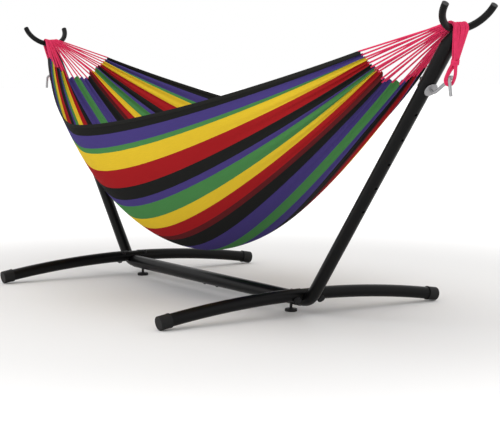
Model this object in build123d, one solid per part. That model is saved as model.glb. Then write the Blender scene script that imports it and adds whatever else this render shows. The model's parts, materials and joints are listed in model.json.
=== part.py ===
from build123d import *
from math import asin, cos, pi, radians, sin, sqrt
import os

# Hammock on a steel tube stand. Millimetres, +Z up, floor at Z = 0.
# +X runs along the bottom beam, +Y across it. The origin is on the floor, under the middle of the beam.

# Bottom beam: two tubes joined end to end over an inner sleeve.
BEAM_R = 25.0
BEAM_BORE_R = 22.6
BEAM_Z = 51.4
BEAM_END_X = 598.0
JOINER_HALF = 80.0
JOINER_SCREW_X = 45.0
JOINER_SCREW_R = 2.95
JOINER_HEAD_R = 5.5
JOINER_HEAD_H = 3.0

# Lower arm: one bent tube, its short end inside the beam, its long end inside the upper arm.
ARM_R = 22.5
ARM_BORE_R = 20.5
ARM_TILT = 39.1
ARM_CORNER_X = 654.3
ARM_BEND_R = 85.0
ARM_SPIGOT_X = 490.0
ARM_TOP = 1085.0

# Upper arm: a sleeve over the lower arm, necked down to carry the cradle.
SLEEVE_R = 25.0
SLEEVE_BORE_R = 22.6
SLEEVE_RIM = 950.0
NECK_START = 1120.0
NECK_END = 1173.0
NECK_R = 10.5
NECK_BORE_R = 8.0

# Cradle: a tube bent to a half circle, measured along the arm from its corner.
CRADLE_AT = 1176.0
CRADLE_BEND_R = 95.0
CRADLE_R = 11.0
CRADLE_BORE_R = 8.8
CRADLE_HALF_ANGLE = 88.0

# Row of holes in each arm; the top one carries the hook.
HOOK_HOLE_AT = 964.0
HOLE_PITCH = 103.6
HOLE_COUNT = 6
HOLE_R = 5.25
HOLE_REACH = 40.0

# Hook: bent from round bar, with a big flat washer outside and a nut inside.
HOOK_R = 5.0
HOOK_BEND_R = 17.0
WASHER_R = 23.0
WASHER_T = 2.5
HOOK_NUT_FLATS = 16.0
HOOK_NUT_T = 6.0

# Cross legs: each half is an arched tube pushed over a stub on the lower arm.
LEG_X = 628.0
LEG_MID_Z = 72.5
LEG_END_Z = 24.0
LEG_HALF = 585.0
LEG_R = 22.0
LEG_BORE_R = 20.0
LEG_START = 25.0
STUB_R = 19.9
STUB_BORE_R = 17.5
STUB_END = 120.0
CAP_LENGTH = 42.0
CAP_FLOOR_T = 4.0
LEG_BOLT_Y = 50.0
LEG_BOLT_R = 4.0
LEG_BOLT_TILT = 50.0
KNOB_R = 14.0
KNOB_H = 11.0
KNOB_FLUTES = 8
KNOB_FLUTE_R = 3.6

# Levelling feet under the beam.
FOOT_X = 539.0
FOOT_PAD_R = 22.0
FOOT_PAD_H = 10.0
FOOT_STEM_R = 5.0
FOOT_STEM_TOP = 54.0
FOOT_NUT_FLATS = 17.0
FOOT_NUT_H = 12.0

# Cloth bed: half length at the edge and at the middle, section and thickness.
CLOTH_EDGE_X = 1113.0
CLOTH_MID_X = 1076.0
CLOTH_T = 4.0
CORD_COUNT = 26
CORD_R = 2.5
CORD_LAYERS = 3

# Bundle of cords over the cradle, and the loop below it that the hook holds.
BUNDLE_T = 14.0
BUNDLE_W = 58.0
BUNDLE_ROOT_X = 1342.0
TAIL_TILT = 14.0
TAIL_END_W = 25.0
TAIL_END_T = 17.0
FAN_TILT = 22.0
WHIP_TOP_Z = 876.0
WHIP_H = 20.0
LOOP_R = 6.5

SIDES = {"left": -1, "right": 1}
ENDS = {"front": -1, "rear": 1}


def save(shape, name):
    shape.label = name
    export_step(shape, f"parts/{name}.step")


def mirrored(shape, side):
    """The right-hand shape, or its mirror image for the left."""
    return shape if side > 0 else mirror(shape, about=Plane.YZ)


def tube(path, outer_r, bore_r):
    """A round tube along a path, open at both ends."""
    section = Plane(origin=path @ 0, z_dir=path % 0) * (Circle(outer_r) - Circle(bore_r))
    return sweep(section, path=path)


def bar(path, radius):
    section = Plane(origin=path @ 0, z_dir=path % 0) * Circle(radius)
    return sweep(section, path=path)


def rod(start, end, radius):
    """A straight round bar between two points."""
    start, end = Vector(*start), Vector(*end)
    along = end - start
    return extrude(Plane(origin=start, z_dir=along) * Circle(radius), amount=along.length)


# The right arm's own directions, in the XZ plane.
ALONG = Vector(sin(radians(ARM_TILT)), 0, cos(radians(ARM_TILT)))
OUT = Vector(cos(radians(ARM_TILT)), 0, -sin(radians(ARM_TILT)))
CORNER = Vector(ARM_CORNER_X, 0, BEAM_Z)
HOOK_HOLE = CORNER + ALONG * HOOK_HOLE_AT
CRADLE_BOTTOM = CORNER + ALONG * CRADLE_AT
CRADLE_CENTRE = CRADLE_BOTTOM + ALONG * CRADLE_BEND_R

# The legs' arc, in the plane X = LEG_X.
LEG_SAG = LEG_MID_Z - LEG_END_Z
LEG_ARC_R = (LEG_HALF**2 + LEG_SAG**2) / (2 * LEG_SAG)
LEG_END_SLOPE = asin(LEG_HALF / LEG_ARC_R)
CAP_R = LEG_END_Z / cos(LEG_END_SLOPE)


def leg_z(y):
    """Height of a leg's centre line."""
    return LEG_MID_Z - LEG_ARC_R + sqrt(LEG_ARC_R**2 - y**2)


def leg_path(y0, y1):
    points = [(LEG_X, y, leg_z(y)) for y in (y0, (y0 + y1) / 2, y1)]
    return ThreePointArc(*points)


def leg_bolt_point(end_y, reach, y=LEG_BOLT_Y):
    """A point on a leg bolt's axis, which leans down and outwards from the leg's centre line."""
    tilt = radians(LEG_BOLT_TILT)
    return Vector(LEG_X + reach * sin(tilt), end_y * y, leg_z(y) - reach * cos(tilt))


def leg_bolt_hole(end_y):
    return rod(leg_bolt_point(end_y, -LEG_MID_Z), leg_bolt_point(end_y, LEG_MID_Z), LEG_BOLT_R + 0.2)


def foot_hole():
    return rod((FOOT_X, 0, 0), (FOOT_X, 0, BEAM_Z), FOOT_STEM_R + 0.8)


# ---------------------------------------------------------------- bottom beam


def beam_half():
    path = Line((0.0, 0, BEAM_Z), (BEAM_END_X, 0, BEAM_Z))
    body = tube(path, BEAM_R, BEAM_BORE_R)
    body -= rod((JOINER_SCREW_X, 0, 0), (JOINER_SCREW_X, 0, BEAM_Z), JOINER_SCREW_R + 0.25)
    return body - foot_hole()


def beam_joiner():
    path = Line((-JOINER_HALF, 0, BEAM_Z), (JOINER_HALF, 0, BEAM_Z))
    body = tube(path, ARM_R, ARM_BORE_R)
    for side in SIDES.values():
        x = side * JOINER_SCREW_X
        body -= rod((x, 0, 0), (x, 0, BEAM_Z), JOINER_SCREW_R + 0.05)
    return body


def joiner_screws():
    screws = []
    for side in SIDES.values():
        x = side * JOINER_SCREW_X
        seat = BEAM_Z - BEAM_R
        head = rod((x, 0, seat - JOINER_HEAD_H), (x, 0, seat - 0.02), JOINER_HEAD_R)
        head = chamfer(head.faces().sort_by(Axis.Z)[0].edges(), 1.2)
        screws.append(head + rod((x, 0, seat - 1.0), (x, 0, seat + 12.0), JOINER_SCREW_R))
    return Compound(children=screws)


# ---------------------------------------------------------------- arms


def arm_lower():
    """A bent tube with a short curved stub welded across it for the two leg tubes."""
    start = Vector(ARM_SPIGOT_X, 0, BEAM_Z)
    path = FilletPolyline(start, CORNER, CORNER + ALONG * ARM_TOP, radius=ARM_BEND_R)
    body = bar(path, ARM_R) + bar(leg_path(-STUB_END, STUB_END), STUB_R)
    body -= bar(path, ARM_BORE_R)
    for end_y in ENDS.values():
        body -= bar(leg_path(end_y * ARM_R, end_y * (STUB_END + 1)), STUB_BORE_R)
        body -= leg_bolt_hole(end_y)
    for i in range(HOLE_COUNT):
        at = CORNER + ALONG * (HOOK_HOLE_AT - i * HOLE_PITCH)
        body -= rod(at - OUT * HOLE_REACH, at + OUT * HOLE_REACH, HOLE_R)
    return body - foot_hole()


def cradle_path(half_angle):
    """The arc of the cradle's centre line, centred on the arm."""

    def at(angle):
        t = radians(angle)
        return CRADLE_CENTRE - ALONG * CRADLE_BEND_R * cos(t) + Vector(0, CRADLE_BEND_R * sin(t), 0)

    return ThreePointArc(at(-half_angle), at(0), at(half_angle))


def arm_upper():
    """A sleeve turned about the arm's axis, coped to the cradle's tube."""
    plane = Plane(origin=CORNER, x_dir=OUT, z_dir=OUT.cross(ALONG))

    def turned(rim, radius, neck_radius):
        points = [(0, rim), (radius, rim), (radius, NECK_START), (neck_radius, NECK_END), (0, NECK_END)]
        return revolve(plane * make_face(Polyline(*points, close=True)), axis=Axis(CORNER, ALONG))

    body = turned(SLEEVE_RIM, SLEEVE_R, NECK_R) - turned(SLEEVE_RIM - 5, SLEEVE_BORE_R, NECK_BORE_R)
    body -= bar(cradle_path(40.0), CRADLE_R)
    body = body.solids().sort_by(SortBy.VOLUME)[-1]
    return body - rod(HOOK_HOLE - OUT * HOLE_REACH, HOOK_HOLE + OUT * HOLE_REACH, HOLE_R)


def cradle():
    return tube(cradle_path(CRADLE_HALF_ANGLE), CRADLE_R, CRADLE_BORE_R)


def cradle_plugs():
    plugs = []
    path = cradle_path(CRADLE_HALF_ANGLE)
    for at, way in ((path @ 0, path % 0), (path @ 1, (path % 1) * -1)):
        tip = Plane(origin=at, z_dir=way * -1)
        head = extrude(tip * Circle(CRADLE_R), amount=2.0)
        head = fillet(head.faces().sort_by(Axis(at, way * -1))[-1].edges(), 1.2)
        plugs.append(head + extrude(tip * Circle(CRADLE_BORE_R - 0.6), amount=-9.0))
    return Compound(children=plugs)


# ---------------------------------------------------------------- hooks


def hook_points():
    """Corners of the hook's centre line: shank, rise, crook and free leg."""
    return [
        HOOK_HOLE - OUT * 33,
        HOOK_HOLE + OUT * 42,
        Vector(1366, 14, 823),
        Vector(1390, -22, 822),
        Vector(1399, -22, 766),
    ]


def hook():
    path = FilletPolyline(*hook_points(), radius=[13.0, HOOK_BEND_R, HOOK_BEND_R])
    return bar(path, HOOK_R)


def hook_washer():
    seat = Plane(origin=HOOK_HOLE + OUT * (SLEEVE_R + 0.02), z_dir=OUT)
    disc = extrude(seat * (Circle(WASHER_R) - Circle(HOOK_R + 0.05)), amount=WASHER_T)
    rim = disc.faces().sort_by(Axis(HOOK_HOLE, OUT))[-1].edges().sort_by(SortBy.LENGTH)[-1]
    return chamfer(rim, 0.8)


def hook_nut():
    seat = Plane(origin=HOOK_HOLE - OUT * (SLEEVE_R + 0.02), z_dir=OUT * -1)
    flat_r = HOOK_NUT_FLATS / 2 / cos(pi / 6)
    return extrude(seat * (RegularPolygon(flat_r, 6) - Circle(HOOK_R + 0.05)), amount=HOOK_NUT_T)


# ---------------------------------------------------------------- legs


def leg_tube(end_y):
    path = leg_path(end_y * LEG_START, end_y * (LEG_HALF - CAP_FLOOR_T))
    body = tube(path, LEG_R, LEG_BORE_R)
    return body - leg_bolt_hole(end_y)


def leg_cap(end_y):
    """A rubber cup over the tube's end, with a thicker lip at its mouth."""
    mouth = LEG_HALF - CAP_LENGTH
    body = bar(leg_path(end_y * mouth, end_y * LEG_HALF), CAP_R)
    body += bar(leg_path(end_y * mouth, end_y * (mouth + 5)), CAP_R + 0.8)
    body -= bar(leg_path(end_y * (mouth - 1), end_y * (LEG_HALF - CAP_FLOOR_T)), LEG_R + 0.02)
    rim = body.faces().sort_by(Axis.Y)[-1 if end_y > 0 else 0].edges()
    return fillet(rim, 1.5)


def leg_bolt(end_y):
    """A flat round head on the leg's upper side and a shank through it."""

    def at(reach):
        return leg_bolt_point(end_y, reach)

    head = rod(at(-LEG_R - 0.1), at(-LEG_R - 3.0), 8.0)
    head = fillet(head.faces().sort_by(Axis(at(0), at(-1) - at(0)))[-1].edges(), 1.5)
    return head + rod(at(-LEG_R - 1), at(LEG_R + 9), LEG_BOLT_R)


def leg_knob(end_y):
    """A round fluted knob screwed on a leg bolt from below, its top shaped to the tube."""

    def at(reach):
        return leg_bolt_point(end_y, reach)

    top = LEG_R - 0.4
    body = rod(at(top), at(top + KNOB_H), KNOB_R)
    body = fillet(body.edges().filter_by(GeomType.CIRCLE), 2.0)
    face = Plane(origin=at(top - 1), x_dir=(0, 1, 0), z_dir=at(1) - at(0))
    flutes = PolarLocations(KNOB_R + 2.0, KNOB_FLUTES) * Circle(KNOB_FLUTE_R)
    for flute in flutes:
        body -= extrude(face * flute, amount=KNOB_H + 2)
    body -= rod(at(top - 1), at(top + 9.5), LEG_BOLT_R + 0.02)
    near, far = LEG_BOLT_Y - KNOB_R, LEG_BOLT_Y + KNOB_R
    return body - rod(leg_bolt_point(end_y, 0, near), leg_bolt_point(end_y, 0, far), LEG_R + 0.3)


def on_both_sides(make):
    """One compound of the same piece at all four legs."""
    pieces = [mirrored(make(end_y), side) for side in SIDES.values() for end_y in ENDS.values()]
    return Compound(children=pieces)


# ---------------------------------------------------------------- levelling feet


def leveller_nut():
    """Welded nut inside the lower arm's spigot, its base shaped to the bore."""
    flat_r = FOOT_NUT_FLATS / 2 / cos(pi / 6)
    base = Plane(origin=(FOOT_X, 0, BEAM_Z - ARM_R), z_dir=(0, 0, 1))
    body = extrude(base * RegularPolygon(flat_r, 6), amount=FOOT_NUT_H)
    body &= rod((FOOT_X - 40, 0, BEAM_Z), (FOOT_X + 40, 0, BEAM_Z), ARM_BORE_R - 0.02)
    return body - rod((FOOT_X, 0, 0), (FOOT_X, 0, 2 * BEAM_Z), FOOT_STEM_R + 0.05)


def leveller_stem():
    stem = rod((FOOT_X, 0, 3.0), (FOOT_X, 0, FOOT_STEM_TOP), FOOT_STEM_R)
    return chamfer(stem.faces().sort_by(Axis.Z)[-1].edges(), 1.0)


def leveller_pad():
    pad = rod((FOOT_X, 0, 0), (FOOT_X, 0, FOOT_PAD_H), FOOT_PAD_R)
    pad = chamfer(pad.faces().sort_by(Axis.Z)[-1].edges(), 2.0)
    pad = chamfer(pad.faces().sort_by(Axis.Z)[0].edges(), 0.8)
    boss = rod((FOOT_X, 0, FOOT_PAD_H - 1), (FOOT_X, 0, FOOT_PAD_H + 1.5), 9.0)
    return pad + boss - rod((FOOT_X, 0, 3.0), (FOOT_X, 0, 20), FOOT_STEM_R)


# ---------------------------------------------------------------- cloth bed


def cloth_point(t, v, lift=0.0):
    """A point of the bed: t runs from end to end and v from edge to edge, each from -1 to 1."""
    a = abs(v)
    half_width = 560 - (sqrt((370 * t) ** 2 + 30**2) - 30) - 74 * t**2
    edge_z = 647 + 200 * (sqrt(t**2 + 0.2**2) - 0.2) + 87 * t**2
    floor_z = 161 + 600 * (sqrt(t**2 + 0.25**2) - 0.25) + 179 * t**2
    fuller = 1.3 * t**6 if t * v > 0 else 0.0  # each end hangs a little fuller on one side
    x = t * (CLOTH_MID_X + (CLOTH_EDGE_X - CLOTH_MID_X) * a**2)
    y = half_width * v * (1 + 0.32 * (1 - a))
    z = floor_z + (edge_z - floor_z) * a ** (1.75 + 0.11 * t**2 + fuller)
    return Vector(x, y, z + lift)


def cloth_bed():
    rows, columns = 25, 17
    grid = [
        [cloth_point(-1 + 2 * i / (rows - 1), -1 + 2 * j / (columns - 1)) for j in range(columns)]
        for i in range(rows)
    ]
    sheet = Face.make_surface_from_array_of_points(grid, tol=0.5, min_deg=3, max_deg=5)
    return Solid.thicken(sheet, CLOTH_T)


def suspension_cords():
    """Straight cords from the cloth's end to the cradle, in three layers where they gather."""
    cords = []
    for i in range(CORD_COUNT):
        v = -0.98 + 1.96 * i / (CORD_COUNT - 1)
        start = cloth_point(1.0, v)
        layer = i % CORD_LAYERS
        end = Vector(BUNDLE_ROOT_X - 6.0, 28.0 * v, 953.0 + 5.6 * layer)
        way = (end - start).normalized()
        cords.append(rod(start + way * 4.0, end, CORD_R))
    return Compound(children=cords)


# ---------------------------------------------------------------- bundle, whipping and loop

TAIL_WAY = Vector(-sin(radians(TAIL_TILT)), 0, -cos(radians(TAIL_TILT)))
TAIL_OUT = Vector(cos(radians(TAIL_TILT)), 0, -sin(radians(TAIL_TILT)))
BUNDLE_MID_R = CRADLE_R + BUNDLE_T / 2 + 0.2
TAIL_START = CRADLE_BOTTOM + TAIL_OUT * BUNDLE_MID_R


def tail_at(z):
    """The point of the tail's centre line at a height."""
    return TAIL_START + TAIL_WAY * ((TAIL_START.Z - z) / cos(radians(TAIL_TILT)))


def slab(at, way, across, thick):
    """A rounded section of the bundle, wide along Y."""
    plane = Plane(origin=at, x_dir=(0, 1, 0), z_dir=way)
    return plane * RectangleRounded(across, thick, thick * 0.45)


def end_bundle():
    """Cords gathered side by side, from the fan, over the cradle and down to the whipping."""
    fan_way = Vector(cos(radians(FAN_TILT)), 0, sin(radians(FAN_TILT)))
    fan_up = Vector(-sin(radians(FAN_TILT)), 0, cos(radians(FAN_TILT)))
    fan_end = CRADLE_BOTTOM + fan_up * BUNDLE_MID_R
    fan_start = fan_end - fan_way * ((fan_end.X - BUNDLE_ROOT_X) / fan_way.X)
    crown = CRADLE_BOTTOM + (fan_up + TAIL_OUT).normalized() * BUNDLE_MID_R
    path = Line(fan_start, fan_end) + ThreePointArc(fan_end, crown, TAIL_START)
    saddle = sweep(slab(fan_start, fan_way, BUNDLE_W, BUNDLE_T), path=path)
    wide = slab(TAIL_START, TAIL_WAY, BUNDLE_W, BUNDLE_T)
    narrow = slab(tail_at(WHIP_TOP_Z), TAIL_WAY, TAIL_END_W, TAIL_END_T)
    return saddle + loft([wide, narrow])


def whipping():
    top, bottom = tail_at(WHIP_TOP_Z), tail_at(WHIP_TOP_Z - WHIP_H)
    return loft([slab(top, TAIL_WAY, 28.0, 20.0), slab(bottom, TAIL_WAY, 27.0, 20.0)])


def hook_loop():
    """The bight below the whipping, open in the middle for the hook."""
    start = tail_at(WHIP_TOP_Z - WHIP_H)
    points = [
        start + Vector(-5, 0, 0),
        Vector(1363, -4, 838),
        Vector(1350, -6, 815),
        Vector(1361, -6, 799),
        Vector(1387, -6, 800),
        Vector(1398, -5, 825),
        start + Vector(6, 0, 0),
    ]
    path = FilletPolyline(*points, radius=[22, 10, 11, 12, 14])
    return bar(path, LOOP_R)


# ---------------------------------------------------------------- write every node

os.makedirs("parts", exist_ok=True)

save(beam_joiner(), "beam_joiner")
save(joiner_screws(), "joiner_screws")
save(on_both_sides(leg_bolt), "leg_bolts")
save(on_both_sides(leg_knob), "leg_knobs")
save(cloth_bed(), "cloth_bed")

PAIRS = {
    "beam": beam_half,
    "arm_lower": arm_lower,
    "arm_upper": arm_upper,
    "cradle": cradle,
    "cradle_plugs": cradle_plugs,
    "hook": hook,
    "hook_washer": hook_washer,
    "hook_nut": hook_nut,
    "leveller_nut": leveller_nut,
    "leveller_stem": leveller_stem,
    "leveller_pad": leveller_pad,
    "suspension_cords": suspension_cords,
    "end_bundle": end_bundle,
    "whipping": whipping,
    "hook_loop": hook_loop,
}
for name, make in PAIRS.items():
    shape = make()
    for side_name, side in SIDES.items():
        save(mirrored(shape, side), f"{name}_{side_name}")

for end_name, end_y in ENDS.items():
    for name, make in {"leg_tube": leg_tube, "leg_cap": leg_cap}.items():
        shape = make(end_y)
        for side_name, side in SIDES.items():
            save(mirrored(shape, side), f"{name}_{side_name}_{end_name}")
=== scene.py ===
import bpy
import json
import numpy as np
from math import acos, atan2, cos, pi, radians, sin, sqrt
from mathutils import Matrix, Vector


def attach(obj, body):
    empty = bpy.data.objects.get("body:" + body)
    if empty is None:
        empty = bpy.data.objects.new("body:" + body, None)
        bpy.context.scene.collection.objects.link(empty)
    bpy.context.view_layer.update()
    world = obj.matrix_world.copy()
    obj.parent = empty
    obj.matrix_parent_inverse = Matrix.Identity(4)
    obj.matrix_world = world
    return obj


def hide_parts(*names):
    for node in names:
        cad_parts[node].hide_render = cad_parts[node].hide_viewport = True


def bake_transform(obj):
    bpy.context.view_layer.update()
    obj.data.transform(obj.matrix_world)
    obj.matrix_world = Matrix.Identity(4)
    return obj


# Hammock on a steel tube stand, in metres: +X along the bottom beam, +Y across it, +Z up.

SIDES = {"left": -1.0, "right": 1.0}
SEED = 7

# Camera
CAMERA_AT = (4.6552, -2.8535, 0.8385)
CAMERA_AZIMUTH = 146.92
CAMERA_PITCH = -5.53
CAMERA_LENS = 103.53

# The stand's shape where the cords meet it
BEAM_Z = 0.0514
ARM_TILT = radians(39.1)
ARM_CORNER_X = 0.6543
CRADLE_AT = 1.176
CRADLE_BEND_R = 0.095
CRADLE_R = 0.011
ALONG = Vector((sin(ARM_TILT), 0, cos(ARM_TILT)))
CRADLE_BOTTOM = Vector((ARM_CORNER_X, 0, BEAM_Z)) + ALONG * CRADLE_AT

# Cloth
CLOTH_MID_X = 1.076
CLOTH_EDGE_X = 1.113
CLOTH_LIFT = 0.0018
CLOTH_T = 0.0014
FLAT_WIDTH = 1.56
FLAT_LENGTH = 2.45
CLOTH_ROWS = 200
CLOTH_COLUMNS = 338
CORD_COUNT = 26
SLOPE_STEP = 0.004
PLEAT_FINE = 0.0062
PLEAT_BROAD = 0.0070
PLEAT_PULL = 0.0022
GATHER_FROM = 0.30

# Cords
STRAND_R = 0.0025
FAN_STRAND_R = 0.0028
TAIL_TILT = radians(14.0)
TAIL_REACH = 0.0182
WHIP_TOP_Z = 0.876
WHIP_H = 0.020
BLEND_FROM_X = 1.345


# ---------------------------------------------------------------- mesh helpers


def make_object(name, verts, faces, uvs=None, smooth=True):
    """A mesh object; uvs holds one pair for each vertex."""
    mesh = bpy.data.meshes.new(name)
    mesh.from_pydata([tuple(v) for v in verts], [], faces)
    if uvs is not None:
        layer = mesh.uv_layers.new(name="along_across")
        corner = np.zeros(len(mesh.loops), dtype=np.int32)
        mesh.loops.foreach_get("vertex_index", corner)
        layer.data.foreach_set("uv", np.asarray(uvs, dtype=np.float32)[corner].ravel())
    mesh.polygons.foreach_set("use_smooth", [smooth] * len(mesh.polygons))
    mesh.validate()
    mesh.update()
    piece = bpy.data.objects.new(name, mesh)
    bpy.context.scene.collection.objects.link(piece)
    return piece


def spaced(points, step):
    """The same line, with its points a step apart."""
    points = np.asarray(points, dtype=float)
    runs = np.linalg.norm(np.diff(points, axis=0), axis=1)
    at = np.concatenate([[0.0], np.cumsum(runs)])
    count = max(3, int(round(at[-1] / step)) + 1)
    want = np.linspace(0.0, at[-1], count)
    return np.stack([np.interp(want, at, points[:, k]) for k in range(3)], axis=1)


def smoothed(points, rounds):
    """Softens the corners of an evenly spaced line and keeps its ends."""
    points = np.array(points, dtype=float)
    for _ in range(rounds):
        points[1:-1] = 0.25 * points[:-2] + 0.5 * points[1:-1] + 0.25 * points[2:]
    return points


def frames_along(points):
    """Tangent and two normals at each point, carried along without twist."""
    tangents = np.gradient(points, axis=0)
    tangents /= np.linalg.norm(tangents, axis=1)[:, None]
    first = np.cross(tangents[0], (0.0, 1.0, 0.0))
    if np.linalg.norm(first) < 0.1:
        first = np.cross(tangents[0], (0.0, 0.0, 1.0))
    normals = np.zeros_like(points)
    normals[0] = first / np.linalg.norm(first)
    for i in range(1, len(points)):
        n = normals[i - 1] - tangents[i] * (normals[i - 1] @ tangents[i])
        normals[i] = n / np.linalg.norm(n)
    return tangents, normals, np.cross(tangents, normals)


class Strands:
    """Collects twisted cords into one mesh."""

    SIDES_ROUND = 9
    PITCH = 0.016
    LOBE = 0.10

    def __init__(self):
        self.verts, self.faces, self.uvs = [], [], []

    def add(self, points, radius, turn=0.0):
        """A three-ply cord along a line of points, closed at both ends."""
        points = np.asarray(points, dtype=float)
        _, n1, n2 = frames_along(points)
        runs = np.linalg.norm(np.diff(points, axis=0), axis=1)
        along = np.concatenate([[0.0], np.cumsum(runs)])
        base, around = len(self.verts), self.SIDES_ROUND
        for i, p in enumerate(points):
            for k in range(around):
                angle = 2 * pi * k / around
                ply = cos(3 * (angle - 2 * pi * along[i] / self.PITCH) + turn)
                r = radius * (1 + self.LOBE * ply)
                self.verts.append(p + n1[i] * (r * cos(angle)) + n2[i] * (r * sin(angle)))
                self.uvs.append((along[i], angle / (2 * pi)))
        for i in range(len(points) - 1):
            a, b = base + i * around, base + (i + 1) * around
            for k in range(around):
                m = (k + 1) % around
                self.faces.append((a + k, a + m, b + m, b + k))
        self.faces.append(tuple(base + k for k in reversed(range(around))))
        last = base + (len(points) - 1) * around
        self.faces.append(tuple(last + k for k in range(around)))

    def build(self, name):
        return make_object(name, self.verts, self.faces, self.uvs)


# ---------------------------------------------------------------- materials


class Shader:
    """A material's node tree, with short calls for the nodes used here."""

    def __init__(self, name):
        self.material = bpy.data.materials.new(name)
        self.material.use_nodes = True
        self.tree = self.material.node_tree
        self.bsdf = self.tree.nodes["Principled BSDF"]

    def node(self, kind, **values):
        made = self.tree.nodes.new(kind)
        for key, value in values.items():
            if hasattr(made, key):
                setattr(made, key, value)
            else:
                made.inputs[key.replace("_", " ")].default_value = value
        return made

    def link(self, source, target):
        self.tree.links.new(source, target)

    def fixed(self, **values):
        for key, value in values.items():
            self.bsdf.inputs[key.replace("_", " ")].default_value = value

    def math(self, operation, a, b=None):
        made = self.node("ShaderNodeMath", operation=operation)
        for slot, value in enumerate((a, b)):
            if value is None:
                continue
            if isinstance(value, (int, float)):
                made.inputs[slot].default_value = value
            else:
                self.link(value, made.inputs[slot])
        return made.outputs[0]

    def noise(self, scale, detail=3.0, stretch=None, source=None):
        """Noise over object coordinates, or over a given vector."""
        if source is None:
            source = self.node("ShaderNodeTexCoord").outputs["Object"]
        if stretch:
            mapping = self.node("ShaderNodeMapping")
            mapping.inputs["Scale"].default_value = stretch
            self.link(source, mapping.inputs["Vector"])
            source = mapping.outputs["Vector"]
        made = self.node("ShaderNodeTexNoise", Scale=scale, Detail=detail)
        self.link(source, made.inputs["Vector"])
        return made.outputs["Fac"]

    def ramp(self, value, stops, constant=False):
        made = self.node("ShaderNodeValToRGB")
        ramp = made.color_ramp
        if constant:
            ramp.interpolation = "CONSTANT"
        while len(ramp.elements) < len(stops):
            ramp.elements.new(1.0)
        for element, (position, colour) in zip(ramp.elements, stops):
            element.position = position
            element.color = (*colour, 1.0)
        self.link(value, made.inputs["Fac"])
        return made.outputs["Color"]

    def scaled(self, value, low, high):
        """Turns a value from 0 to 1 into one from low to high."""
        made = self.node("ShaderNodeMapRange")
        self.link(value, made.inputs["Value"])
        made.inputs["To Min"].default_value = low
        made.inputs["To Max"].default_value = high
        return made.outputs["Result"]

    def tinted(self, colour, value, low, high):
        """A colour made darker or lighter by a value."""
        made = self.node("ShaderNodeVectorMath", operation="SCALE")
        if isinstance(colour, tuple):
            made.inputs[0].default_value = colour
        else:
            self.link(colour, made.inputs[0])
        self.link(self.scaled(value, low, high), made.inputs["Scale"])
        self.link(made.outputs[0], self.bsdf.inputs["Base Color"])

    def bump(self, height, distance, strength=1.0):
        made = self.node("ShaderNodeBump", Strength=strength, Distance=distance)
        self.link(height, made.inputs["Height"])
        self.link(made.outputs["Normal"], self.bsdf.inputs["Normal"])


def powder_coat():
    s = Shader("black_powder_coat")
    s.tinted((0.0032, 0.0032, 0.0034), s.noise(6.0), 0.85, 1.2)
    s.link(s.scaled(s.noise(35.0), 0.26, 0.38), s.bsdf.inputs["Roughness"])
    s.bump(s.noise(1400.0, detail=2.0), 0.00008, 0.4)
    s.fixed(Specular_IOR_Level=0.13)
    return s.material


def black_zinc():
    s = Shader("black_zinc")
    s.tinted((0.010, 0.010, 0.011), s.noise(80.0), 0.8, 1.3)
    s.link(s.scaled(s.noise(120.0), 0.32, 0.5), s.bsdf.inputs["Roughness"])
    s.bump(s.noise(900.0), 0.00005, 0.5)
    s.fixed(Metallic=0.3, Specular_IOR_Level=0.25)
    return s.material


def moulded(name, colour, grain):
    s = Shader(name)
    s.tinted(colour, s.noise(40.0), 0.85, 1.2)
    s.link(s.scaled(s.noise(200.0), 0.5, 0.7), s.bsdf.inputs["Roughness"])
    s.bump(s.noise(grain, detail=2.0), 0.0001, 0.6)
    s.fixed(Specular_IOR_Level=0.25)
    return s.material


def zinc_plate():
    s = Shader("zinc_plate")
    s.tinted((0.36, 0.36, 0.37), s.noise(90.0), 0.8, 1.1)
    s.link(s.scaled(s.noise(260.0), 0.36, 0.54), s.bsdf.inputs["Roughness"])
    s.bump(s.noise(700.0), 0.00004, 0.5)
    s.fixed(Metallic=0.8)
    return s.material


def cord_material():
    """Spun cotton: fine fibres that follow the lay of the cord."""
    s = Shader("pink_cotton_cord")
    uv = s.node("ShaderNodeUVMap", uv_map="along_across").outputs["UV"]
    fibre = s.noise(1.0, detail=4.0, stretch=(900.0, 14.0, 1.0), source=uv)
    patch = s.noise(60.0)
    both = s.math("MULTIPLY", s.math("ADD", fibre, patch), 0.5)
    s.tinted((0.66, 0.036, 0.112), both, 0.62, 1.38)
    s.bump(fibre, 0.0003, 0.7)
    s.fixed(Roughness=0.85, Specular_IOR_Level=0.06)
    return s.material


BLACK, PURPLE, GREEN = (0.0150, 0.0150, 0.0145), (0.062, 0.045, 0.190), (0.066, 0.225, 0.068)
YELLOW, RED, DARK_RED = (0.730, 0.500, 0.030), (0.340, 0.013, 0.016), (0.110, 0.015, 0.017)

# Stripes from each long edge to the middle, in millimetres of flat cloth.
STRIPES = [
    (41, BLACK),
    (52, PURPLE),
    (21, GREEN),
    (72, YELLOW),
    (80, RED),
    (58, BLACK),
    (33, PURPLE),
    (72, GREEN),
    (60, YELLOW),
    (58, RED),
    (31, DARK_RED),
    (72, BLACK),
    (93, PURPLE),
    (37, GREEN),
]
WARP_PITCH = 0.0016
WEFT_PITCH = 0.0020


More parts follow.
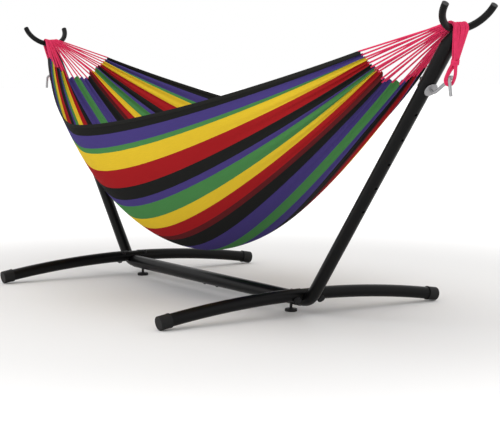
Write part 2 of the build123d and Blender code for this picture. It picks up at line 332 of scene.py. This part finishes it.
def cloth_material():
    """Lengthwise stripes in a plain weave of slubby cotton yarn. V runs across the flat cloth, in metres."""
    s = Shader("striped_cotton")
    uv = s.node("ShaderNodeUVMap", uv_map="along_across").outputs["UV"]
    parts = s.node("ShaderNodeSeparateXYZ")
    s.link(uv, parts.inputs[0])
    along, across = parts.outputs["X"], parts.outputs["Y"]
    slub = s.noise(1.0, detail=4.0, stretch=(28.0, 900.0, 1.0), source=uv)
    fleck = s.noise(1.0, detail=3.0, stretch=(420.0, 420.0, 1.0), source=uv)
    fade = s.noise(2.2, detail=2.0)

    half = FLAT_WIDTH / 2
    jitter = s.scaled(slub, -0.0012, 0.0012)
    from_edge = s.math("SUBTRACT", half, s.math("ABSOLUTE", s.math("SUBTRACT", across, half)))
    place = s.math("DIVIDE", s.math("ADD", from_edge, jitter), half)
    stops, at, total = [], 0.0, sum(width for width, _ in STRIPES)
    for width, colour in STRIPES:
        stops.append((at / total, colour))
        at += width
    colours = s.ramp(place, stops, constant=True)

    yarn = s.math("ADD", s.math("MULTIPLY", slub, 0.45), s.math("MULTIPLY", fleck, 0.35))
    tone = s.math("ADD", yarn, s.math("MULTIPLY", fade, 0.2))
    s.tinted(colours, tone, 0.70, 1.30)

    warp = s.math("SINE", s.math("MULTIPLY", across, 2 * pi / WARP_PITCH))
    weft = s.math("SINE", s.math("MULTIPLY", along, 2 * pi / WEFT_PITCH))
    weave = s.math("ADD", s.math("MULTIPLY", s.math("MULTIPLY", warp, weft), 0.5), slub)
    s.bump(weave, 0.0005, 0.6)
    s.fixed(Roughness=0.9, Specular_IOR_Level=0.03)
    return s.material


def hem_material():
    """The black edge band, with a row of stitches along it. U runs along it and V across it, in metres."""
    s = Shader("black_hem")
    uv = s.node("ShaderNodeUVMap", uv_map="along_across").outputs["UV"]
    parts = s.node("ShaderNodeSeparateXYZ")
    s.link(uv, parts.inputs[0])
    along, across = parts.outputs["X"], parts.outputs["Y"]
    slub = s.noise(1.0, detail=4.0, stretch=(60.0, 900.0, 1.0), source=uv)
    dash = s.math("GREATER_THAN", s.math("FRACT", s.math("MULTIPLY", along, 250.0)), 0.35)
    line = s.math("COMPARE", across, 0.009)
    line.node.inputs[2].default_value = 0.0005
    stitch = s.math("MULTIPLY", dash, line)
    tone = s.math("ADD", slub, s.math("MULTIPLY", stitch, 0.8))
    s.tinted((0.016, 0.016, 0.015), tone, 0.65, 1.5)
    s.bump(s.math("ADD", s.math("MULTIPLY", slub, 0.5), stitch), 0.0005, 0.7)
    s.fixed(Roughness=0.9, Specular_IOR_Level=0.05)
    return s.material


def finish_cad_nodes(frame):
    """Every CAD node that shows takes the material of its slot."""
    made = {
        "black_tube": powder_coat(),
        "black_fastener": black_zinc(),
        "grey_plug": moulded("grey_plug", (0.035, 0.035, 0.035), 700.0),
        "black_plastic": moulded("black_plastic", (0.007, 0.007, 0.008), 800.0),
        "rubber_cap": moulded("black_rubber", (0.006, 0.006, 0.006), 500.0),
        "plated_steel": zinc_plate(),
    }
    for part in frame["record"]["subparts"]:
        material = made.get(part["material_slot"])
        piece = frame["nodes"][part["node"]]
        if material and not piece.hide_render:
            piece.data.materials.clear()
            piece.data.materials.append(material)


# ---------------------------------------------------------------- cloth


def cloth_surface(t, v):
    """The bed's surface, for arrays or numbers.

    t runs from end to end and v from edge to edge, each from -1 to 1.
    """
    a = np.abs(v)
    half_width = 0.560 - (np.sqrt((0.370 * t) ** 2 + 0.030**2) - 0.030) - 0.074 * t**2
    edge_z = 0.647 + 0.200 * (np.sqrt(t**2 + 0.2**2) - 0.2) + 0.087 * t**2
    floor_z = 0.161 + 0.600 * (np.sqrt(t**2 + 0.25**2) - 0.25) + 0.179 * t**2
    x = t * (CLOTH_MID_X + (CLOTH_EDGE_X - CLOTH_MID_X) * a**2)
    y = half_width * v * (1 + 0.32 * (1 - a))
    fuller = np.where(t * v > 0, 1.3 * t**6, 0.0)
    z = floor_z + (edge_z - floor_z) * a ** (1.75 + 0.11 * t**2 + fuller) + CLOTH_LIFT
    return np.stack([x, y, z], axis=-1)


def across_at(t, q):
    """The v of each place q, from 0 to 1 across the flat cloth, in the section at t.

    The cloth is gathered evenly, but at the ends less so beside the middle, on the fuller side.
    """
    v = np.linspace(-1.0, 1.0, 401)
    line = cloth_surface(np.full_like(v, t), v)
    run = np.concatenate([[0.0], np.cumsum(np.linalg.norm(np.diff(line, axis=0), axis=1))])
    side = 1.0 if t > 0 else -1.0
    beside_middle = np.exp(-((((q - 0.5) * side - 0.10) / 0.13) ** 2))
    shifted = q + side * 0.12 * t**6 * beside_middle * (1 - np.abs(2 * q - 1))
    return np.interp(shifted, run / run[-1], v)


# Teeth of the cloth's end, from an edge to the middle: where each starts and ends, and its reach there.
END_TEETH = [
    (0.0, 0.138, 0.0, 0.018),
    (0.138, 0.268, 0.010, 0.025),
    (0.268, 0.365, 0.013, 0.023),
    (0.365, 0.5, 0.004, 0.0),
]


def end_reach(q):
    """How far the cloth's end stands beyond t = 1. Each group of cords pulls out a tooth of its own."""
    a = np.minimum(q, 1.0 - q)
    reach = np.zeros_like(a)
    for start, stop, low, high in END_TEETH:
        part = (a - start) / (stop - start)
        drop = np.clip((1.0 - part) / 0.12, 0.0, 1.0)
        tooth = (low + (high - low) * np.clip(part, 0.0, 1.0) ** 0.8) * (0.45 + 0.55 * drop)
        reach = np.where((a >= start) & (a <= stop), tooth, reach)
    return reach


def gather(s):
    """How strongly the cloth is gathered: nothing in the middle, fully at the ends."""
    return np.clip((np.abs(s) - GATHER_FROM) / (1.0 - GATHER_FROM), 0.0, 1.0) ** 1.2


def pleats(s, q):
    """Height of the folds above the smooth surface."""
    rng = np.random.default_rng(SEED)
    sway = rng.uniform(-0.5, 0.5, (2, CORD_COUNT + 2))
    end = 0 if s < 0 else 1
    cell = q * CORD_COUNT
    drift = np.interp(cell, np.arange(CORD_COUNT + 2) - 0.5, sway[end])
    fine = PLEAT_FINE * np.cos(2 * pi * cell + drift)
    broad = PLEAT_BROAD * np.sin(2 * pi * q * 6.5 + 2.0 * end) * np.sin(pi * q)
    pull = PLEAT_PULL * np.sin(2 * pi * q * 4.0 + 1.3 * end) * np.sin(2 * pi * abs(s) * 1.3)
    return gather(s) * (fine * gather(s) + broad) + pull * np.sin(pi * q) * 0.6


def cloth_rows():
    """Row places from end to end, closer together towards the ends."""
    s = np.linspace(-1.0, 1.0, CLOTH_ROWS)
    return s + 0.10 * np.sin(pi * s)


def cloth_grid():
    """Points of the cloth's middle surface and their flat places, row by row."""
    q = np.linspace(0.0, 1.0, CLOTH_COLUMNS)
    rows, flats = [], []
    for s in cloth_rows():
        v = across_at(s, q)
        near_end = np.clip((abs(s) - 0.86) / 0.14, 0.0, 1.0) ** 2
        t = s + np.sign(s) * near_end * end_reach(q)
        row = cloth_surface(t, v)
        v_after, v_before = np.clip(v + SLOPE_STEP, -1, 1), np.clip(v - SLOPE_STEP, -1, 1)
        step_v = cloth_surface(t, v_after) - cloth_surface(t, v_before)
        step_t = cloth_surface(t + SLOPE_STEP, v) - cloth_surface(t - SLOPE_STEP, v)
        normal = np.cross(step_t, step_v)
        normal /= np.linalg.norm(normal, axis=1)[:, None]
        rows.append(row + normal * pleats(s, q)[:, None])
        flats.append(np.stack([t * FLAT_LENGTH / 2, q * FLAT_WIDTH], axis=1))
    return np.array(rows), np.array(flats)


def solid_sheet(name, rows, flats, thick):
    """A closed thin sheet over a grid of points, its thickness on both sides of the grid."""
    n, m = rows.shape[:2]
    along = np.gradient(rows, axis=0)
    across = np.gradient(rows, axis=1)
    normal = np.cross(along, across)
    normal /= np.linalg.norm(normal, axis=2)[:, :, None]
    top, low = rows + normal * (thick / 2), rows - normal * (thick / 2)
    verts = np.concatenate([top.reshape(-1, 3), low.reshape(-1, 3)])
    uvs = np.concatenate([flats.reshape(-1, 2)] * 2)
    faces = []
    under = n * m
    for i in range(n - 1):
        for j in range(m - 1):
            a, b, c, d = i * m + j, i * m + j + 1, (i + 1) * m + j + 1, (i + 1) * m + j
            faces.append((a, d, c, b))
            faces.append((under + a, under + b, under + c, under + d))
    rim = list(range(m)) + [i * m + m - 1 for i in range(1, n)]
    rim += [(n - 1) * m + j for j in range(m - 2, -1, -1)] + [i * m for i in range(n - 2, 0, -1)]
    for a, b in zip(rim, rim[1:] + rim[:1]):
        faces.append((a, b, under + b, under + a))
    return make_object(name, verts, faces, uvs)


HEM_WIDTH = 0.013
HEM_T = 0.0032


def hem_strip(name, line, inward, normal, width, thick):
    """A folded band round an edge: a closed flat loop swept along it, with rounded outer side."""
    profile = [(width, 0.5), (width * 0.5, 0.55), (0.002, 0.55), (-0.0012, 0.0)]
    profile += [(0.002, -0.55), (width * 0.5, -0.55), (width, -0.5)]
    runs = np.linalg.norm(np.diff(line, axis=0), axis=1)
    along = np.concatenate([[0.0], np.cumsum(runs)])
    verts, uvs, faces = [], [], []
    for i, p in enumerate(line):
        for depth, height in profile:
            verts.append(p + inward[i] * depth + normal[i] * (height * thick))
            uvs.append((along[i], depth))
    m = len(profile)
    for i in range(len(line) - 1):
        for k in range(m):
            a, b = i * m + k, i * m + (k + 1) % m
            faces.append((a, b, b + m, a + m))
    faces.append(tuple(reversed(range(m))))
    faces.append(tuple((len(line) - 1) * m + k for k in range(m)))
    return make_object(name, verts, faces, uvs)


def edge_frame(line, toward):
    """Inward direction and surface normal at each point of an edge, from the row beside it."""
    inward = toward - line
    inward /= np.linalg.norm(inward, axis=1)[:, None]
    along = np.gradient(line, axis=0)
    along /= np.linalg.norm(along, axis=1)[:, None]
    normal = np.cross(along, inward)
    normal /= np.linalg.norm(normal, axis=1)[:, None]
    return inward, normal


def build_cloth(striped, hem):
    rows, flats = cloth_grid()
    cloth = solid_sheet("cloth", rows, flats, CLOTH_T)
    cloth.data.materials.append(striped)
    bands = []
    for name, column, beside in (("side_hem_front", 0, 4), ("side_hem_rear", -1, -5)):
        line = rows[:, column]
        inward, normal = edge_frame(line, rows[:, beside])
        bands.append(hem_strip(name, line, inward, normal, HEM_WIDTH, HEM_T))
    for band in bands:
        band.data.materials.append(hem)
        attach(band, "hammock")
    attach(cloth, "hammock")
    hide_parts("cloth_bed")
    return rows


# ---------------------------------------------------------------- cords


def tangent_angle(point, radius, pick):
    """Angle, from +X to +Z, at which a line from a point touches a circle round the origin."""
    distance = sqrt(point[0] ** 2 + point[1] ** 2)
    towards = atan2(point[1], point[0])
    spread = acos(min(1.0, radius / distance))
    return pick((towards + spread, towards - spread))


# The gathered cords lie in four groups side by side: the columns of each, and its height off the bar.
COLUMNS = 13
BUNDLE_HALF = 0.0266
GROUPS = [(0, 3, 0.0012), (3, 6, 0.0), (6, 10, 0.0010), (10, 13, 0.0003)]
GROUP_GAP = 0.0022


def column_place(index):
    """Place across the bundle of a column of cords, from -1 to 1, and its group's height."""
    pitch = (2 * BUNDLE_HALF - GROUP_GAP * (len(GROUPS) - 1)) / (COLUMNS - 1)
    for number, (first, beyond, height) in enumerate(GROUPS):
        if first <= index < beyond:
            return (index * pitch + number * GROUP_GAP) / BUNDLE_HALF - 1.0, height


def strand_line(start, index, layer, rng):
    """One cord on the right-hand side: from the cloth, over the cradle's bar and down to the whipping."""
    column, height = column_place(index)
    y = column * BUNDLE_HALF + rng.uniform(-0.0003, 0.0003)
    radius = CRADLE_R + 0.0028 + height + layer * 0.0046 + rng.uniform(0, 0.0005)
    rise = CRADLE_BEND_R - sqrt(CRADLE_BEND_R**2 - y**2)
    centre = CRADLE_BOTTOM + ALONG * rise
    whip_x = tail_x(WHIP_TOP_Z)
    whip = Vector((whip_x + (layer - 0.5) * 0.0075, column * 0.0088, WHIP_TOP_Z + 0.001))

    on = tangent_angle((start.x - centre.x, start.z - centre.z), radius, min)
    on = on + 2 * pi if on < 0 else on
    off = tangent_angle((whip.x - centre.x, whip.z - centre.z), radius, max)
    arc = [
        Vector((centre.x + radius * cos(angle), y, centre.z + radius * sin(angle)))
        for angle in np.linspace(on, off, 14)
    ]
    below = whip + Vector((-sin(TAIL_TILT), 0, -cos(TAIL_TILT))) * (WHIP_H * 0.6)
    line = [start] + arc + [whip, below]
    return smoothed(spaced(line, 0.003), 3)


def mirrored(points, side):
    return np.asarray(points) * np.array([side, 1.0, 1.0])


def build_fan(side_name, side, rows, material):
    """The cords between cloth and cradle, and their run over the bar, as two pieces that meet."""
    rng = np.random.default_rng(SEED + (1 if side > 0 else 2))
    end_row = mirrored(rows[-1 if side > 0 else 0], side)
    beside = mirrored(rows[-4 if side > 0 else 3], side)
    fan, saddle = Strands(), Strands()
    for i in range(CORD_COUNT):
        q = 0.004 + 0.992 * i / (CORD_COUNT - 1)
        at = q * (CLOTH_COLUMNS - 1)
        j = int(round(at))
        back = end_row[j] - (end_row[j] - beside[j]) / np.linalg.norm(end_row[j] - beside[j]) * 0.006
        line = strand_line(Vector(back), i // 2, i % 2, rng)
        cut = int(np.argmax(line[:, 0] > BLEND_FROM_X))
        turn = rng.uniform(0, 2 * pi)
        fan.add(mirrored(line[: cut + 1], side), FAN_STRAND_R, turn)
        saddle.add(mirrored(line[cut:], side), STRAND_R, turn)
    fan_piece = fan.build(f"fan_cords_{side_name}")
    saddle_piece = saddle.build(f"gathered_cords_{side_name}")
    for piece in (fan_piece, saddle_piece):
        piece.data.materials.append(material)
    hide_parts(f"suspension_cords_{side_name}")
    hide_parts(f"end_bundle_{side_name}")
    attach(saddle_piece, "root")
    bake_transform(fan_piece)


def tail_x(z):
    """X of the hanging tail's centre at a height, on the right-hand side."""
    fall = z - CRADLE_BOTTOM.z
    return CRADLE_BOTTOM.x + TAIL_REACH / cos(TAIL_TILT) + fall * sin(TAIL_TILT) / cos(TAIL_TILT)


def tail_point(z):
    return Vector((tail_x(z), 0, z))


WHIP_TURNS = 5
WHIP_STEPS_ROUND = 40
WHIP_HALF = (0.0115, 0.0135)


def build_whipping(side_name, side, material):
    """A cord wound round the bundle, its start and end tucked under the turns."""
    down = Vector((-sin(TAIL_TILT), 0, -cos(TAIL_TILT)))
    out = Vector((cos(TAIL_TILT), 0, -sin(TAIL_TILT)))
    across = Vector((0, 1, 0))
    top = tail_point(WHIP_TOP_Z)
    half_thick, half_wide = WHIP_HALF[0] - STRAND_R, WHIP_HALF[1] - STRAND_R
    points = []
    steps = WHIP_STEPS_ROUND * WHIP_TURNS
    for i in range(steps + 1):
        turn = 2 * pi * i / WHIP_STEPS_ROUND
        drop = STRAND_R + (WHIP_H - 2 * STRAND_R) * i / steps
        tuck = 0.86 if i in (0, steps) else 1.0
        flat_c = abs(cos(turn)) ** 0.8 * (1 if cos(turn) >= 0 else -1)
        flat_s = abs(sin(turn)) ** 0.8 * (1 if sin(turn) >= 0 else -1)
        off_axis = out * (half_thick * flat_c * tuck) + across * (half_wide * flat_s * tuck)
        points.append(top + down * drop + off_axis)
    winding = Strands()
    winding.add(mirrored(smoothed(spaced(points, 0.0024), 2), side), STRAND_R)
    piece = winding.build(f"whipping_cord_{side_name}")
    piece.data.materials.append(material)
    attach(piece, "root")
    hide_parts(f"whipping_{side_name}")


# The loop is three bights of two cords each, which share the far side and spread on the near one.
BIGHTS = (0.0, 0.0050, 0.0105)


def build_loop(side_name, side, material):
    """The bights that hang on the hook, their cords turning slowly round each other."""
    start = tail_point(WHIP_TOP_Z - WHIP_H + 0.006)
    strands = Strands()
    for number, spread in enumerate(BIGHTS):
        corners = [
            start + Vector((-0.006 + 0.3 * spread, 0.004 * (number - 1), 0)),
            Vector((1.360 + spread, -0.004, 0.838)),
            Vector((1.350 + spread, -0.006 - 0.3 * spread, 0.812 + 0.4 * spread)),
            Vector((1.361 + 0.5 * spread, -0.006, 0.797 + 0.2 * spread)),
            Vector((1.386, -0.006, 0.799 + 0.3 * spread)),
            Vector((1.397 - 0.2 * spread, -0.005 + 0.3 * spread, 0.825)),
            start + Vector((0.006, 0.003 * (number - 1), 0)),
        ]
        middle = smoothed(spaced(corners, 0.003), 12)
        _, n1, n2 = frames_along(middle)
        for k in range(2):
            line = []
            for i, p in enumerate(middle):
                angle = pi * k + 1.2 * pi * i / len(middle) + number
                line.append(p + n1[i] * (STRAND_R * cos(angle)) + n2[i] * (STRAND_R * sin(angle)))
            strands.add(mirrored(line, side), STRAND_R, turn=1.7 * k)
    piece = strands.build(f"loop_cords_{side_name}")
    piece.data.materials.append(material)
    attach(piece, "root")
    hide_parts(f"hook_loop_{side_name}")


# ---------------------------------------------------------------- camera, floor and light


def build_camera():
    data = bpy.data.cameras.new("camera")
    data.lens = CAMERA_LENS
    data.sensor_width = 36.0
    data.clip_end = 200.0
    camera = bpy.data.objects.new("camera", data)
    camera.location = CAMERA_AT
    camera.rotation_euler = (radians(90 + CAMERA_PITCH), 0, radians(CAMERA_AZIMUTH - 90))
    bpy.context.scene.collection.objects.link(camera)
    bpy.context.scene.camera = camera


def soft_light(name, at, target, size, power):
    data = bpy.data.lights.new(name, "AREA")
    data.shape = "RECTANGLE"
    data.size, data.size_y = size
    data.energy = power
    light = bpy.data.objects.new(name, data)
    light.location = at
    light.rotation_euler = (Vector(target) - Vector(at)).to_track_quat("-Z", "Y").to_euler()
    bpy.context.scene.collection.objects.link(light)


FLOOR_HALF = 60.0
SKY_LIGHT = 1.0
SUN_LIGHT = 0.55


def build_stage():
    corners = [(-1, -1), (1, -1), (1, 1), (-1, 1)]
    verts = [(x * FLOOR_HALF, y * FLOOR_HALF, -0.0006) for x, y in corners]
    floor = make_object("floor", verts, [(0, 1, 2, 3)], smooth=False)
    s = Shader("pale_floor_painted_glow")
    s.tinted((0.78, 0.775, 0.77), s.noise(0.6), 0.99, 1.01)
    # Painted light: the floor glows by its own emission, from none within 1.3 m of the middle up to 0.35 at
    # 3 m, so it grows brighter away from the stand and fades into the white world.
    place = s.node("ShaderNodeTexCoord").outputs["Object"]
    span = s.node("ShaderNodeVectorMath", operation="LENGTH")
    s.link(place, span.inputs[0])
    fade = s.node("ShaderNodeMapRange", interpolation_type="SMOOTHSTEP")
    s.link(span.outputs["Value"], fade.inputs["Value"])
    for socket, value in (("From Min", 1.3), ("From Max", 3.0), ("To Min", 0.0), ("To Max", 0.35)):
        fade.inputs[socket].default_value = value
    s.link(fade.outputs["Result"], s.bsdf.inputs["Emission Strength"])
    s.fixed(Roughness=0.75, Specular_IOR_Level=0.1, Emission_Color=(1.0, 1.0, 1.0, 1.0))
    floor.data.materials.append(s.material)

    world = bpy.data.worlds.new("studio")
    bpy.context.scene.world = world
    world.use_nodes = True
    background = world.node_tree.nodes["Background"]
    background.inputs["Color"].default_value = (1.0, 1.0, 1.0, 1.0)
    background.inputs["Strength"].default_value = SKY_LIGHT
    sun = bpy.data.lights.new("soft_sun", "SUN")
    sun.energy = SUN_LIGHT
    sun.angle = radians(60.0)
    lamp = bpy.data.objects.new("soft_sun", sun)
    lamp.rotation_euler = (radians(12.0), radians(-8.0), 0)
    bpy.context.scene.collection.objects.link(lamp)
    soft_light("front", (2.2, -4.4, 2.2), (0, 0, 0.5), (2.6, 1.8), 32.0)

    view = bpy.context.scene.view_settings
    view.view_transform = "Standard"
    view.look = "None"


# ---------------------------------------------------------------- put it together

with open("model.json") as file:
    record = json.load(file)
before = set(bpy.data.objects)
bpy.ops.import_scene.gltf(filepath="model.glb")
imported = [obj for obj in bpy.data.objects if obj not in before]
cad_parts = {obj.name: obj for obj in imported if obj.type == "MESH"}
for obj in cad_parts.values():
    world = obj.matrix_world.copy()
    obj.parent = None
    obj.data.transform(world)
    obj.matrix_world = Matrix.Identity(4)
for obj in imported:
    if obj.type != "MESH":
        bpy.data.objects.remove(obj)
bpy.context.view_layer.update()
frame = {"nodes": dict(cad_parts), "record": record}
build_camera()
build_stage()

cotton = cord_material()
cloth_points = build_cloth(cloth_material(), hem_material())
for side_name, side in SIDES.items():
    build_fan(side_name, side, cloth_points, cotton)
    build_whipping(side_name, side, cotton)
    build_loop(side_name, side, cotton)
finish_cad_nodes(frame)
